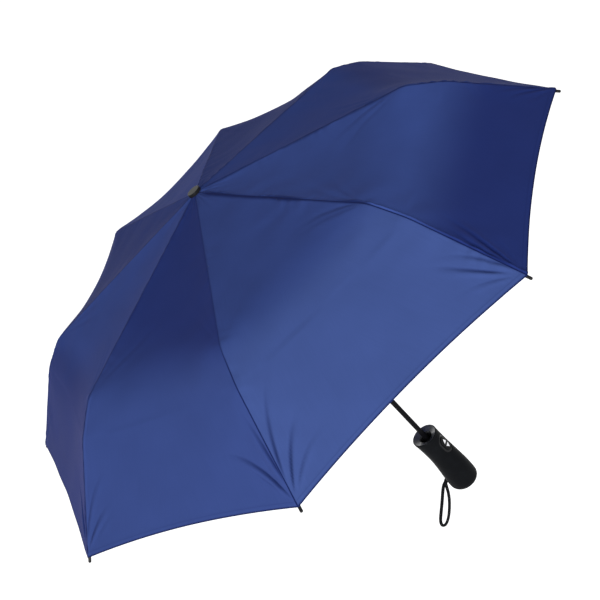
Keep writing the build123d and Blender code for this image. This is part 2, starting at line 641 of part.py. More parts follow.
for number in range(RIB_COUNT):
    make_inner_rib(number)
    make_middle_rib(number)
    make_stretcher(number)
    make_outer_rib(number)
    make_rib_tip(number)
make_crown()
make_ring_wire("crown_ring", CROWN_PIVOT_RADIUS, CROWN_PIVOT_HEIGHT)
make_runner()
make_ring_wire("runner_ring", RUNNER_PIVOT_RADIUS, RUNNER_PIVOT_HEIGHT)
make_tube("bottom_tube", BOTTOM_TUBE)
make_tube("middle_tube", MIDDLE_TUBE)
make_tube("upper_tube", UPPER_TUBE)
make_ferrule_cap()
make_canopy()
make_grip()
make_collar()
make_tip_cup()
make_button_bezel()
make_button()
make_catch_slider()
make_button_spring()
make_end_plug()
make_strap_eyelet()
make_strap()
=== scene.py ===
"""Looks for the folding umbrella: canopy, strap, materials, light and camera. Metres throughout."""
import json
import math

import bpy
import numpy as np
from mathutils import Matrix, Vector


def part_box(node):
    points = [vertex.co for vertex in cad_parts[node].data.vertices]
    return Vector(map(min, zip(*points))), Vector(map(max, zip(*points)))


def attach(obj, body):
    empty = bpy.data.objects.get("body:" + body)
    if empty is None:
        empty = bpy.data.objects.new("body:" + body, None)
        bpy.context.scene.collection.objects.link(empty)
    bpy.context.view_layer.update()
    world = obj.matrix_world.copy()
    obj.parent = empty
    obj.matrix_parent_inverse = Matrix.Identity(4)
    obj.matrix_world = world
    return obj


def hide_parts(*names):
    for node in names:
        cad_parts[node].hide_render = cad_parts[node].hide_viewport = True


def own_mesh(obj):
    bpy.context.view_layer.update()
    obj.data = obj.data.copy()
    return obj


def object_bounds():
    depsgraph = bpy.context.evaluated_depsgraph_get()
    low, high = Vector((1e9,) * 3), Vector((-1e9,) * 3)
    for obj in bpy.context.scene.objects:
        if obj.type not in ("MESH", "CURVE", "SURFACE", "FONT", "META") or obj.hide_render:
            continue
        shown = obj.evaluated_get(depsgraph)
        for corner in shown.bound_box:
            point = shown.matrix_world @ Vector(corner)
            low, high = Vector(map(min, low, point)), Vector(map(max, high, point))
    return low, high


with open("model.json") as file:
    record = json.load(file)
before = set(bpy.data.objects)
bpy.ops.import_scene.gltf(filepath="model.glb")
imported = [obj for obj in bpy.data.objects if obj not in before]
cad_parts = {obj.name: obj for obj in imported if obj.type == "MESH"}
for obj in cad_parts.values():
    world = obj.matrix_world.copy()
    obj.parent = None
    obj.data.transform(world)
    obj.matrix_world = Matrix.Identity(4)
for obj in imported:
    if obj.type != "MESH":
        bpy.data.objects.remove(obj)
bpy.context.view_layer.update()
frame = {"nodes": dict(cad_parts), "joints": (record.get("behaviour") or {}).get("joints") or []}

MM = 0.001

# ---- canopy, as in the CAD model: radius and height of the fabric along a rib ----
RIB_COUNT = 8
FIRST_AZIMUTH = math.radians(22.5)
RIB_STEP = 2 * math.pi / RIB_COUNT
HOLE_RADIUS = 0.0075
KNEE_RADIUS = 0.300
BEND_RADIUS = 0.344
KNEE_DROP = 0.0512
BEND_DROP = 0.0785
CANOPY_LOW, CANOPY_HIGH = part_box("canopy")
RIM_RADIUS = CANOPY_HIGH.x / math.cos(FIRST_AZIMUTH)
CROWN_HEIGHT = CANOPY_HIGH.z - 0.2 * MM
RIM_DROP = CROWN_HEIGHT - CANOPY_LOW.z - 0.2 * MM
OUTER_SLOPE = math.atan2(RIM_DROP - BEND_DROP, RIM_RADIUS - BEND_RADIUS)
MEAN_STEEPNESS = 1.12       # cloth per unit of radius, from the rim to a place above the bend

# ---- how the cloth hangs between two ribs ----
GORE_COLUMNS = 96
COLUMN_EVENNESS = 0.25      # 1 is even columns; below it they crowd towards the ribs, where the folds are
RIDGE_AT_RIB = 0.008        # half-width over which the knee turns, on a rib
RIDGE_BETWEEN = 0.050       # and midway between two ribs
SAG_DEPTH = 0.0065          # how far tension draws a gore in, midway between its ribs
HEM_CURVE = 0.0150          # how far the hem curves in, as a share of the rim radius
HEM_WIDTH = 0.008
SEAM_WIDTH = 0.006
SEAM_GRIP = 0.0022          # how far from a seam the cloth is held flat by it
RIB_HALF_WIDTH = 0.003      # that near to a seam, the cloth rests on the rib and sinks no lower
FOLD_GAP = 0.0006           # from the cloth down to its folded hem and seam allowance

# pull of the cloth at each rib, from 0 to 1: how strongly it creases at the tip and puckers at the seam
TIP_PULL = [0.45, 0.4, 0.5, 0.6, 1.0, 0.8, 0.55, 0.5]
SEAM_PULL = [0.6, 0.55, 0.55, 0.65, 0.45, 1.0, 0.8, 0.7]

# painted light and shade in the cloth's colour, and a painted blue sheen: each gore above and below its knee
PAINTED_LIGHT_ABOVE = [1.13, 0.9, 1.08, 0.74, 0.98, 1.1, 0.92, 0.85]
PAINTED_LIGHT_BELOW = [0.98, 0.9, 0.72, 0.98, 1.07, 0.72, 0.82, 0.78]
PAINTED_SHEEN_ABOVE = [0.9, 0.45, 0.75, 0.05, 0.25, 0.6, 1.0, 0.7]
PAINTED_SHEEN_BELOW = [0.3, 0.30, 0.55, 0.0, 0.0, 0.0, 0.15, 0.3]
PAINTED_TURN_REACH = 0.030          # half the width of the turn from one to the other, at the knee

# gores whose painted light and painted sheen turn elsewhere, in metres: sooner at their left rib, later
# start, later end
PAINTED_LIGHT_TURN = {3: (0.11, 0, 0), 5: (0, 0.045, 0.065)}

# folds of the cloth: heights and widths in metres, heights at full pull; a shade of 1 is darkest
TIP_FOLD_HEIGHT = 1.6 * MM
TIP_FOLD_SHADE = 1.05
KNEE_FOLD_HEIGHT = 1.0 * MM
KNEE_FOLD_SHADE = 0.12
KNEE_FOLD_LEANS = (0.30, 0.62)
KNEE_FOLD_LENGTH = 0.12
KNEE_FOLD_SCALE = 0.45      # a knee's folds are wider than a tip's by one over this
FOLD_WIDTH = 0.0014
FOLD_SPREAD = 0.0040        # how much wider a fold is at its far end
PUCKER_HEIGHT = 1.05 * MM
PUCKER_SPACING = 0.021
PUCKER_REACH = 0.010
ROLL_HEIGHT = 1.7 * MM
ROLL_WIDTH = 0.0013
ROLL_PLACE = 0.0028         # from the seam
DRAG_HEIGHT = 0.42 * MM
DRAG_SPACING = 0.048
WANDER_HEIGHT = 0.55 * MM   # of the slow waves all over a gore
GATHER_HEIGHT = 0.5 * MM    # of the gathers round the ferrule
SEAM_SINK = 0.25 * MM
HEM_STEP = 0.12 * MM


def smooth_corner(x, reach):
    """max(x, 0) with its corner rounded over plus and minus reach."""
    inside = (x + reach) ** 2 / (4 * reach)
    return np.where(x <= -reach, 0.0, np.where(x >= reach, x, inside))


def cloth_height(radius, reach):
    """Height of the canopy at a radius measured along a rib, with the knee rounded by reach."""
    top = -KNEE_DROP / (KNEE_RADIUS - HOLE_RADIUS)
    knee = -(BEND_DROP - KNEE_DROP) / (BEND_RADIUS - KNEE_RADIUS)
    low = -(RIM_DROP - BEND_DROP) / (RIM_RADIUS - BEND_RADIUS)
    return (
        CROWN_HEIGHT
        + top * (radius - HOLE_RADIUS)
        + (knee - top) * smooth_corner(radius - KNEE_RADIUS, reach)
        + (low - knee) * smooth_corner(radius - BEND_RADIUS, reach)
    )


def waves(x, y, seed, size, count=7):
    """Smooth irregular waves of about that size, between about -1 and 1, the same on every run."""
    draw = np.random.default_rng(seed)
    total = np.zeros(np.broadcast(x, y).shape)
    for _ in range(count):
        angle = draw.uniform(0, 2 * math.pi)
        length = size * draw.uniform(0.7, 1.5)
        phase = draw.uniform(0, 2 * math.pi)
        total += np.sin(2 * math.pi * (x * math.cos(angle) + y * math.sin(angle)) / length + phase)
    return total / math.sqrt(count)


def gore_rows():
    """Radii of the cloth's rows, closer together at the knee and the hem, and where the ribs' pieces meet."""
    rib_hinge = radial_distance(joint_place("rib_hinge_1")) + 0.001
    parts = [
        np.linspace(HOLE_RADIUS, rib_hinge, 44),
        np.linspace(rib_hinge, KNEE_RADIUS - 0.012, 40)[1:],
        np.linspace(KNEE_RADIUS - 0.012, KNEE_RADIUS + 0.012, 11)[1:],
        np.linspace(KNEE_RADIUS + 0.012, BEND_RADIUS + 0.012, 17)[1:],
        np.linspace(BEND_RADIUS + 0.012, RIM_RADIUS - 0.012, 48)[1:],
        np.linspace(RIM_RADIUS - 0.012, RIM_RADIUS, 13)[1:],
    ]
    rows = np.concatenate(parts)
    hinge_row = len(parts[0]) - 1
    knee_row = int(np.argmin(abs(rows - KNEE_RADIUS)))
    return rows, hinge_row, knee_row


def joint_place(name):
    return Vector(next(j["pos_m"] for j in frame["joints"] if j["name"] == name))


def radial_distance(point):
    return math.hypot(point[0], point[1])


def ease(x):
    """From 0 to 1 without a corner."""
    x = np.clip(x, 0, 1)
    return x * x * (3 - 2 * x)


def crease(across, along, lean, start, length, height, bend):
    """One fold out from a rib's tip, leaning away from the seam: a ridge with a sharper valley beside it, and
    the painted shade in that valley.
    """
    reach = np.hypot(across, along) + 1e-6
    share = reach / length
    centre = math.pi / 2 - lean - bend * share**2
    offset = reach * (np.arctan2(along, across) - centre)
    width = FOLD_WIDTH + FOLD_SPREAD * np.clip(share, 0, 1.3)
    ridge = np.exp(-((offset / width) ** 2))
    valley = np.exp(-(((offset - 1.05 * width) / (0.55 * width)) ** 2))
    fade = height * np.exp(-(share**4)) * ease((share - start) / 0.35)
    return fade * (ridge - 0.9 * valley), fade * valley


# lean from the seam, where it starts and how long it is, and height, of the folds on one side of a tip
TIP_FOLDS = (
    (0.15, 0.05, 0.095, 1.0),
    (0.42, 0.00, 0.080, 1.2),
    (0.80, 0.15, 0.060, 0.5),
)


def tip_creases(across, along, pull, seed):
    """Folds that fan out from a rib's tip, and the painted shade in their valleys."""
    draw = np.random.default_rng(seed)
    folds = np.zeros_like(across)
    painted_fold_shade = np.zeros_like(across)
    for lean, start, length, height in TIP_FOLDS:
        lean *= draw.uniform(0.75, 1.3)
        start += draw.uniform(0.0, 0.2)
        length *= draw.uniform(0.7, 1.2) * (0.6 + 0.4 * pull)
        bend = draw.uniform(-0.05, 0.22)
        rise, painted_valley_shade = crease(across, along, lean, start, length, height * draw.uniform(0.6, 1.2), bend)
        folds += rise
        painted_fold_shade += painted_valley_shade
    return TIP_FOLD_HEIGHT * pull * folds, TIP_FOLD_SHADE * pull * painted_fold_shade


def seam_puckers(across, along, pull, seed):
    """Short ridges that leave the stitching at a slant, where the thread gathers the cloth."""
    slant = along + 0.6 * across
    beat = waves(slant, across * 0.1, seed, 0.060)
    ridge = np.sin(2 * math.pi * slant / PUCKER_SPACING + 2.2 * beat)
    strength = 0.35 + 0.65 * np.clip(waves(along, 0 * along, seed + 50, 0.110), -0.5, 1)
    return PUCKER_HEIGHT * pull * strength * ridge * np.exp(-across / PUCKER_REACH)


def seam_roll(across, along, radius, pull, seed):
    """Spare cloth rolled up beside a seam, loose above the knee and tight below, and the seam's shade."""
    below = ease((radius - KNEE_RADIUS) / 0.030 + 0.5)
    loose = np.clip(0.55 + 0.55 * waves(along, 0 * along, seed, 0.110), 0, 1)
    height = (1 - below) * (0.15 + 0.35 * loose) + below
    place = ROLL_PLACE + 0.0010 * (1 - below) * waves(along, 0 * along, seed + 7, 0.080)
    roll = ROLL_HEIGHT * pull**2 * height * np.exp(-(((across - place) / ROLL_WIDTH) ** 2))
    # painted shadow along the seam: broad above the knee, narrow below
    breadth = 0.0007 + (1 - below) * (0.0014 + 0.0024 * loose)
    painted_ditch_shade = pull**2 * (0.8 + 0.5 * (1 - below) * loose) * np.exp(-((across / breadth) ** 2))
    return roll, painted_ditch_shade


def drag_lines(across, along, pull, seed):
    """Long faint folds that run slantwise from the seam towards the middle of the gore."""
    turn = 0.55 if seed % 2 else 0.75
    slant = along * math.cos(turn) + across * math.sin(turn)
    lines = np.sin(2 * math.pi * slant / DRAG_SPACING + 1.8 * waves(across, along, seed, 0.16))
    fade = np.exp(-(((across - 0.028) / 0.030) ** 2))
    return DRAG_HEIGHT * pull * lines * fade


def knee_folds(across, radius, pull, seed):
    """Soft folds from a rib's knee back towards the crown, and the painted shade in their valleys."""
    draw = np.random.default_rng(seed)
    inwards = KNEE_RADIUS + 0.004 - radius
    wide_across, wide_inwards = KNEE_FOLD_SCALE * across, KNEE_FOLD_SCALE * inwards
    folds = np.zeros_like(across)
    painted_fold_shade = np.zeros_like(across)
    for lean in KNEE_FOLD_LEANS:
        lean *= draw.uniform(0.85, 1.15)
        length = KNEE_FOLD_SCALE * KNEE_FOLD_LENGTH * draw.uniform(0.6, 1.1)
        height, bend = draw.uniform(0.6, 1.1), draw.uniform(0.0, 0.3)
        rise, painted_valley_shade = crease(wide_across, wide_inwards, lean, 0.10, length, height, bend)
        folds += rise
        painted_fold_shade += painted_valley_shade
    ahead = np.clip(inwards / 0.004, 0, 1)
    return KNEE_FOLD_HEIGHT * pull**2 * ahead * folds, KNEE_FOLD_SHADE * pull**2 * ahead * painted_fold_shade


def half_gore_relief(across, along, radius, rib, side):
    """Relief beside one seam, and the painted shade in its folds and along the seam; side is 0 to the rib's
    left and 1 to its right.
    """
    seed = 11 + 40 * rib + 17 * side
    relief, painted_fold_shade = tip_creases(across, along, TIP_PULL[rib], seed)
    relief += seam_puckers(across, along, SEAM_PULL[rib], seed + 1)
    middle = np.clip(radius / 0.06, 0, 1) * np.clip(along / 0.05, 0, 1)
    relief += middle * drag_lines(across, along, SEAM_PULL[rib], seed + 2)
    folds, painted_valley_shade = knee_folds(across, radius, SEAM_PULL[rib], seed + 4)
    relief += folds
    painted_fold_shade += painted_valley_shade
    near_crown = np.clip(radius / 0.03, 0, 1)
    roll, painted_ditch_shade = seam_roll(across, along, radius, SEAM_PULL[rib], seed + 3)
    if side:
        relief += near_crown * roll
    else:
        painted_ditch_shade = painted_ditch_shade * ease((KNEE_RADIUS - radius) / 0.03)
    painted_fold_shade += near_crown * painted_ditch_shade
    relief = relief * ease(across / SEAM_GRIP)
    over_rib = -0.2 * MM - 0.5 * np.clip(across - RIB_HALF_WIDTH, 0, 1)
    return np.maximum(relief, over_rib), painted_fold_shade


class Grid:
    """Cloth points in rows that run outwards, their normals, and marks such as the seam's distance."""

    def __init__(self, points, normals, marks, inward=False):
        self.points, self.normals, self.marks, self.inward = points, normals, marks, inward

    def part(self, rows, columns):
        marks = {name: values[rows, columns] for name, values in self.marks.items()}
        return Grid(self.points[rows, columns], self.normals[rows, columns], marks)

    def folded_under(self, rows, columns):
        """The same cloth turned in under itself there; its marks keep the painted shade of seams and hems off
        it.
        """
        layer = self.part(rows, columns)
        layer.points = layer.points - FOLD_GAP * layer.normals
        layer.marks = dict(layer.marks, seam=layer.marks["seam"] + 1.0, hem=layer.marks["hem"] + 1.0)
        layer.inward = True
        return layer


def gore_relief(u, radius, from_left, from_right, along, hem, number):
    """How far a gore's cloth stands proud of its plain stretched shape, and the painted shade in its folds.
    """
    bow = 4 * u * (1 - u)
    sag = SAG_DEPTH * np.sin(math.pi * np.clip(radius / RIM_RADIUS, 0, 1) ** 1.6) + 0.0012
    relief = -sag * bow * np.clip(radius / 0.05, 0, 1)
    following = (number + 1) % RIB_COUNT
    weight = ease((u - 0.30) / 0.40)
    left_relief, left_depth = half_gore_relief(from_left, along, radius, number, 1)
    right_relief, right_depth = half_gore_relief(from_right, along, radius, following, 0)
    relief += (1 - weight) * left_relief + weight * right_relief
    painted_fold_shade = (1 - weight) * left_depth + weight * right_depth
    relief += WANDER_HEIGHT * bow * waves(from_left, along, 300 + number, 0.13)
    gathers = np.cos(2 * math.pi * 3.5 * u + number) * np.exp(-radius / 0.030)
    relief += GATHER_HEIGHT * gathers * np.clip((radius - HOLE_RADIUS) / 0.008, 0, 1) * np.clip(4 * bow, 0, 1)
    seam = np.minimum(from_left, from_right)
    relief -= SEAM_SINK * np.exp(-((seam / 0.0015) ** 2)) * np.clip(radius / 0.03, 0, 1)
    relief += HEM_STEP * np.clip((HEM_WIDTH - hem) / 0.0012, 0, 1)
    return relief, np.clip(painted_fold_shade, 0, 1)


def seam_shared(normals, start, end):
    """The same normals, but square to the rib's own plane at each edge, so that two gores meet there."""
    for column, azimuth in ((0, start), (-1, end)):
        sideways = np.array([-math.sin(azimuth), math.cos(azimuth), 0.0])
        edge = normals[:, column]
        edge = edge - (edge @ sideways)[:, None] * sideways
        normals[:, column] = edge / np.linalg.norm(edge, axis=-1, keepdims=True)
    return normals


def gore_surface(number, rows):
    """The cloth between that rib and the next."""
    even = np.linspace(0, 1, GORE_COLUMNS + 1)
    share = COLUMN_EVENNESS * even + (1 - COLUMN_EVENNESS) * (0.5 - 0.5 * np.cos(math.pi * even))
    u, radius = np.meshgrid(share, rows)
    bow = 4 * u * (1 - u)
    radius = radius * (1 - HEM_CURVE * bow * (radius / RIM_RADIUS) ** 3)
    start = FIRST_AZIMUTH + number * RIB_STEP
    end = start + RIB_STEP
    x = radius * ((1 - u) * math.cos(start) + u * math.cos(end))
    y = radius * ((1 - u) * math.sin(start) + u * math.sin(end))
    reach = RIDGE_AT_RIB + (RIDGE_BETWEEN - RIDGE_AT_RIB) * bow**1.3
    points = np.stack([x, y, cloth_height(radius, reach)], axis=-1)

    chord = 2 * radius * math.sin(RIB_STEP / 2)
    steep = 1 / math.cos(OUTER_SLOPE)
    along = (rows[-1] - rows)[:, None] * np.where(rows > BEND_RADIUS, steep, MEAN_STEEPNESS)[:, None] + 0 * u
    hem = (rows[-1] - rows)[:, None] * steep + 0 * u
    from_left, from_right = u * chord, (1 - u) * chord
    relief, painted_fold_shade = gore_relief(u, radius, from_left, from_right, along, hem, number)
    points = points + relief[..., None] * seam_shared(surface_normals(points), start, end)

    below = ease((radius - KNEE_RADIUS + PAINTED_TURN_REACH) / (2 * PAINTED_TURN_REACH))
    # where the painted light and painted sheen turn from their values above the knee to those below
    sooner, later_start, later_end = PAINTED_LIGHT_TURN.get(number, (0, 0, 0))
    turn_start = KNEE_RADIUS - PAINTED_TURN_REACH + later_start - sooner * (1 - u)
    turned = ease((radius - turn_start) / (KNEE_RADIUS + PAINTED_TURN_REACH + later_end - turn_start))
    following = (number + 1) % RIB_COUNT
    pull = np.where(u < 0.5, SEAM_PULL[number], SEAM_PULL[following])
    # marks for the colour: painted light, painted blue sheen, and how strong the painted shade in seams and
    # folds is
    marks = {
        "seam": np.minimum(from_left, from_right),
        "hem": hem,
        "painted_light": (1 - turned) * PAINTED_LIGHT_ABOVE[number] + turned * PAINTED_LIGHT_BELOW[number],
        "painted_sheen": (1 - turned) * PAINTED_SHEEN_ABOVE[number] + turned * PAINTED_SHEEN_BELOW[number],
        "tight": np.maximum(below, np.clip(1.6 * pull - 0.5, 0, 1)),
        "fold": painted_fold_shade,
    }
    return Grid(points, seam_shared(surface_normals(points), start, end), marks)


def surface_normals(points):
    """Outward unit normals of a grid whose rows run outwards and whose columns run anticlockwise."""
    down = np.gradient(points, axis=0)
    side = np.gradient(points, axis=1)
    normal = np.cross(down, side)
    return normal / np.maximum(np.linalg.norm(normal, axis=-1, keepdims=True), 1e-12)


def grid_faces(row_count, column_count, first, inward):
    """Quads of a grid of points, facing outwards or inwards."""
    faces = []
    for row in range(row_count - 1):
        for column in range(column_count - 1):
            a = first + row * column_count + column
            quad = (a, a + column_count, a + column_count + 1, a + 1)
            faces.append(quad[::-1] if inward else quad)
    return faces


def cloth_piece(name, grids):
    """One mesh of several grids of cloth."""
    vertices, normals, faces = [], [], []
    marks = {label: [] for label in grids[0].marks}
    for grid in grids:
        rows, columns = grid.points.shape[:2]
        faces.extend(grid_faces(rows, columns, len(vertices), grid.inward))
        vertices.extend(grid.points.reshape(-1, 3).tolist())
        normals.extend(((-1 if grid.inward else 1) * grid.normals).reshape(-1, 3).tolist())
        for label, values in grid.marks.items():
            marks[label].extend(values.reshape(-1).tolist())
    mesh = bpy.data.meshes.new(name)
    mesh.from_pydata(vertices, [], faces)
    mesh.validate()
    for label, values in marks.items():
        mesh.attributes.new(label, "FLOAT", "POINT").data.foreach_set("value", values)
    corners = np.zeros(len(mesh.loops), dtype=int)
    mesh.loops.foreach_get("vertex_index", corners)
    place = np.stack([np.array(marks["seam"])[corners], np.array(marks["hem"])[corners]], axis=-1)
    mesh.uv_layers.new(name="cloth").uv.foreach_set("vector", place.reshape(-1))
    mesh.shade_smooth()
    mesh.normals_split_custom_set_from_vertices(normals)
    mesh.materials.append(FABRIC)
    piece = bpy.data.objects.new(name, mesh)
    bpy.context.scene.collection.objects.link(piece)
    return piece


def make_canopy():
    """Half a gore either side of each rib, cut where the rib folds, each riding on its own rib."""
    rows, hinge_row, knee_row = gore_rows()
    spans = {"inner": (0, hinge_row), "middle": (hinge_row, knee_row), "outer": (knee_row, len(rows) - 1)}
    for number in range(RIB_COUNT):
        gore = gore_surface(number, rows)
        half = gore.points.shape[1] // 2
        following = (number + 1) % RIB_COUNT
        halves = (
            ("left", number, slice(0, half + 1), 0),
            ("right", following, slice(half, None), -1),
        )
        for span, (low, high) in spans.items():
            for side, rib, columns, rib_edge in halves:
                cloth = gore.part(slice(low, high + 1), columns)
                grids = [cloth, seam_allowance(cloth)]
                if span == "outer":
                    grids.append(hem_fold(cloth))
                piece = cloth_piece(f"canopy_{span}_{rib + 1}_{side}", grids)
                hang(piece, span, rib)


def hang(piece, span, rib):
    """Tie a strip of cloth to its rib, give it its own mesh, and hide the CAD canopy."""
    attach(piece, f"{span}_rib_{rib + 1}")
    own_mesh(piece)
    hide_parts("canopy")


def seam_allowance(cloth):
    """The cut edge of the cloth, turned in under the seam."""
    inside = np.nonzero(cloth.marks["seam"][-1] <= SEAM_WIDTH * 1.2)[0]
    return cloth.folded_under(slice(None), slice(int(inside[0]), int(inside[-1]) + 1))


def hem_fold(cloth):
    """The hem, turned in under the edge."""
    inside = np.nonzero(cloth.marks["hem"][:, 0] <= HEM_WIDTH)[0]
    return cloth.folded_under(slice(int(inside[0]), None), slice(None))


# ---- materials ----


class Nodes:
    """A material's node tree, with one-line helpers."""

    def __init__(self, name):
        self.material = bpy.data.materials.new(name)
        self.material.use_nodes = True
        self.tree = self.material.node_tree
        self.shader = self.tree.nodes["Principled BSDF"]

    def add(self, kind, **settings):
        node = self.tree.nodes.new(kind)
        for key, value in settings.items():
            setattr(node, key, value)
        return node

    def link(self, source, target):
        self.tree.links.new(source, target)

    def surface(self, **values):
        for key, value in values.items():
            self.shader.inputs[key.replace("_", " ").title().replace("Ior", "IOR")].default_value = value

    def place(self, kind="Object"):
        return self.add("ShaderNodeTexCoord").outputs[kind]

    def scaled(self, source, scale):
        mapping = self.add("ShaderNodeMapping")
        mapping.inputs["Scale"].default_value = scale
        self.link(source, mapping.inputs["Vector"])
        return mapping.outputs["Vector"]

    def noise(self, source, scale, detail=3.0, roughness=0.55):
        node = self.add("ShaderNodeTexNoise")
        node.inputs["Scale"].default_value = scale
        node.inputs["Detail"].default_value = detail
        node.inputs["Roughness"].default_value = roughness
        self.link(source, node.inputs["Vector"])
        return node.outputs["Fac"]

    def wave(self, source, scale, direction, distortion=0.0):
        node = self.add("ShaderNodeTexWave", bands_direction=direction)
        node.inputs["Scale"].default_value = scale
        node.inputs["Distortion"].default_value = distortion
        self.link(source, node.inputs["Vector"])
        return node.outputs["Fac"]

    def math(self, operation, a, b):
        node = self.add("ShaderNodeMath", operation=operation)
        for socket, value in zip(node.inputs, (a, b)):
            if isinstance(value, (int, float)):
                socket.default_value = value
            else:
                self.link(value, socket)
        return node.outputs[0]

    def span(self, source, low, high, to_low, to_high):
        node = self.add("ShaderNodeMapRange")
        self.link(source, node.inputs["Value"])
        for key, value in (("From Min", low), ("From Max", high), ("To Min", to_low), ("To Max", to_high)):
            node.inputs[key].default_value = value
        return node.outputs["Result"]

    def blend_colours(self, factor, first, second):
        node = self.add("ShaderNodeMix", data_type="RGBA")
        self.link(factor, node.inputs["Factor"])
        for key, value in (("A", first), ("B", second)):
            socket = next(s for s in node.inputs if s.name == key and s.type == "RGBA")
            if isinstance(value, tuple):
                socket.default_value = (*value, 1.0)
            else:
                self.link(value, socket)
        return next(s for s in node.outputs if s.type == "RGBA")

    def scaled_colour(self, colour, factor):
        node = self.add("ShaderNodeVectorMath", operation="SCALE")
        self.link(colour, node.inputs[0])
        self.link(factor, node.inputs["Scale"])
        return node.outputs["Vector"]

    def mark(self, name):
        return self.add("ShaderNodeAttribute", attribute_name=name).outputs["Fac"]

    def bump(self, height, strength, distance):
        node = self.add("ShaderNodeBump")
        node.inputs["Strength"].default_value = strength
        node.inputs["Distance"].default_value = distance
        self.link(height, node.inputs["Height"])
        self.link(node.outputs["Normal"], self.shader.inputs["Normal"])

    def see_through_from_behind(self):
        """Let a view from under the surface pass through it."""
        output = next(n for n in self.tree.nodes if n.type == "OUTPUT_MATERIAL")
        clear = self.add("ShaderNodeBsdfTransparent")
        mixed = self.add("ShaderNodeMixShader")
        self.link(self.add("ShaderNodeNewGeometry").outputs["Backfacing"], mixed.inputs[0])
        self.link(self.shader.outputs[0], mixed.inputs[1])
        self.link(clear.outputs[0], mixed.inputs[2])
        self.link(mixed.outputs[0], output.inputs["Surface"])

    def colour(self, output):
        self.link(output, self.shader.inputs["Base Color"])

    def roughness(self, output):
        self.link(output, self.shader.inputs["Roughness"])


# the cloth's navy in painted light, in painted shade and with a painted blue sheen; then the navy of the
# painted shade in seams, hems and folds
NAVY_PAINTED_LIT = (0.0305, 0.0515, 0.155)
NAVY_PAINTED_SHADE = (0.0175, 0.0330, 0.158)
NAVY_PAINTED_SHEEN = (0.0285, 0.0545, 0.212)
PAINTED_SHADE_NAVY = (0.0020, 0.0042, 0.036)
STRAP_BLACK = (0.0035, 0.0035, 0.004)
STRAP_FUZZ = (0.008, 0.008, 0.009)
SOFT_BLACK = (0.0034, 0.0038, 0.0046)
GLOSS_BLACK = (0.008, 0.008, 0.009)
PAINT_BLACK = (0.004, 0.004, 0.005)


def fabric_material():
    """Fine woven polyester: tight plain weave, a soft sheen, painted light and shade per gore, and painted
    shade in seams, hems and folds.
    """
    n = Nodes("umbrella_cloth")
    n.surface(specular_ior_level=0.003, sheen_weight=0.075, sheen_roughness=0.45)
    n.surface(sheen_tint=(0.40, 0.38, 1.0, 1.0))
    uv = n.place("UV")
    cloudy = n.noise(uv, 14.0, detail=2.0)
    streaks = n.noise(n.scaled(uv, (900.0, 22.0, 1.0)), 1.0, detail=2.0)
    mixed = n.math("ADD", n.math("MULTIPLY", cloudy, 0.6), n.math("MULTIPLY", streaks, 0.4))
    # painted light and shade per gore, and a painted blue sheen, blended into the navy
    painted_light = n.mark("painted_light")
    painted_light_navy = n.blend_colours(n.span(painted_light, 0.72, 1.10, 0.0, 1.0), NAVY_PAINTED_SHADE, NAVY_PAINTED_LIT)
    painted_light_navy = n.blend_colours(n.mark("painted_sheen"), painted_light_navy, NAVY_PAINTED_SHEEN)
    painted_light_and_mottle = n.math("MULTIPLY", painted_light, n.span(mixed, 0.35, 0.65, 0.92, 1.02))
    # painted shade in the seam's ditch, fuller where the cloth is tight
    painted_ditch_shade = n.span(n.mark("seam"), 0.0002, 0.0014, 0.95, 0.0)
    painted_ditch_shade = n.math("MULTIPLY", painted_ditch_shade, n.span(n.mark("tight"), 0.0, 1.0, 0.35, 1.0))
    hem = n.mark("hem")
    # painted shade in the hem's stitch groove and along its turned edge
    hem_line = n.math("ABSOLUTE", n.math("SUBTRACT", hem, HEM_WIDTH - 0.0016), 0.0)
    painted_stitch_shade = n.span(hem_line, 0.0003, 0.0010, 0.14, 0.0)
    edge = n.span(hem, 0.0008, 0.0026, 0.85, 0.0)
    # the strongest painted shade at each point darkens the cloth towards a deep navy
    shade = n.math("MAXIMUM", n.math("MAXIMUM", painted_ditch_shade, painted_stitch_shade), edge)
    # painted shade in the valleys of the folds
    shade = n.math("MAXIMUM", shade, n.span(n.mark("fold"), 0.1, 1.0, 0.0, 0.72))
    n.colour(n.blend_colours(shade, n.scaled_colour(painted_light_navy, painted_light_and_mottle), PAINTED_SHADE_NAVY))
    n.roughness(n.span(cloudy, 0.3, 0.7, 0.50, 0.60))
    warp = n.wave(uv, 620.0, "X")
    weft = n.wave(uv, 620.0, "Y")
    weave = n.math("MULTIPLY", warp, weft)
    n.bump(n.math("ADD", weave, n.math("MULTIPLY", streaks, 0.5)), 0.25, 0.00008)
    return n.material


def moulded_material(name, colour, roughness, grain=0.4, coat=0.0, specular=0.5):
    """Moulded plastic: a fine grain, and a roughness that varies where it is handled."""
    n = Nodes(name)
    n.surface(specular_ior_level=specular, coat_weight=coat, coat_roughness=0.08)
    place = n.place()
    wear = n.noise(place, 45.0, detail=4.0)
    fine = n.noise(place, 2600.0, detail=2.0)
    worn = tuple(c * 1.4 for c in colour)
    n.colour(n.blend_colours(n.span(wear, 0.45, 0.75, 0.0, 1.0), colour, worn))
    n.roughness(n.span(wear, 0.3, 0.7, roughness - 0.05, roughness + 0.06))
    n.bump(fine, grain, 0.00012)
    return n.material


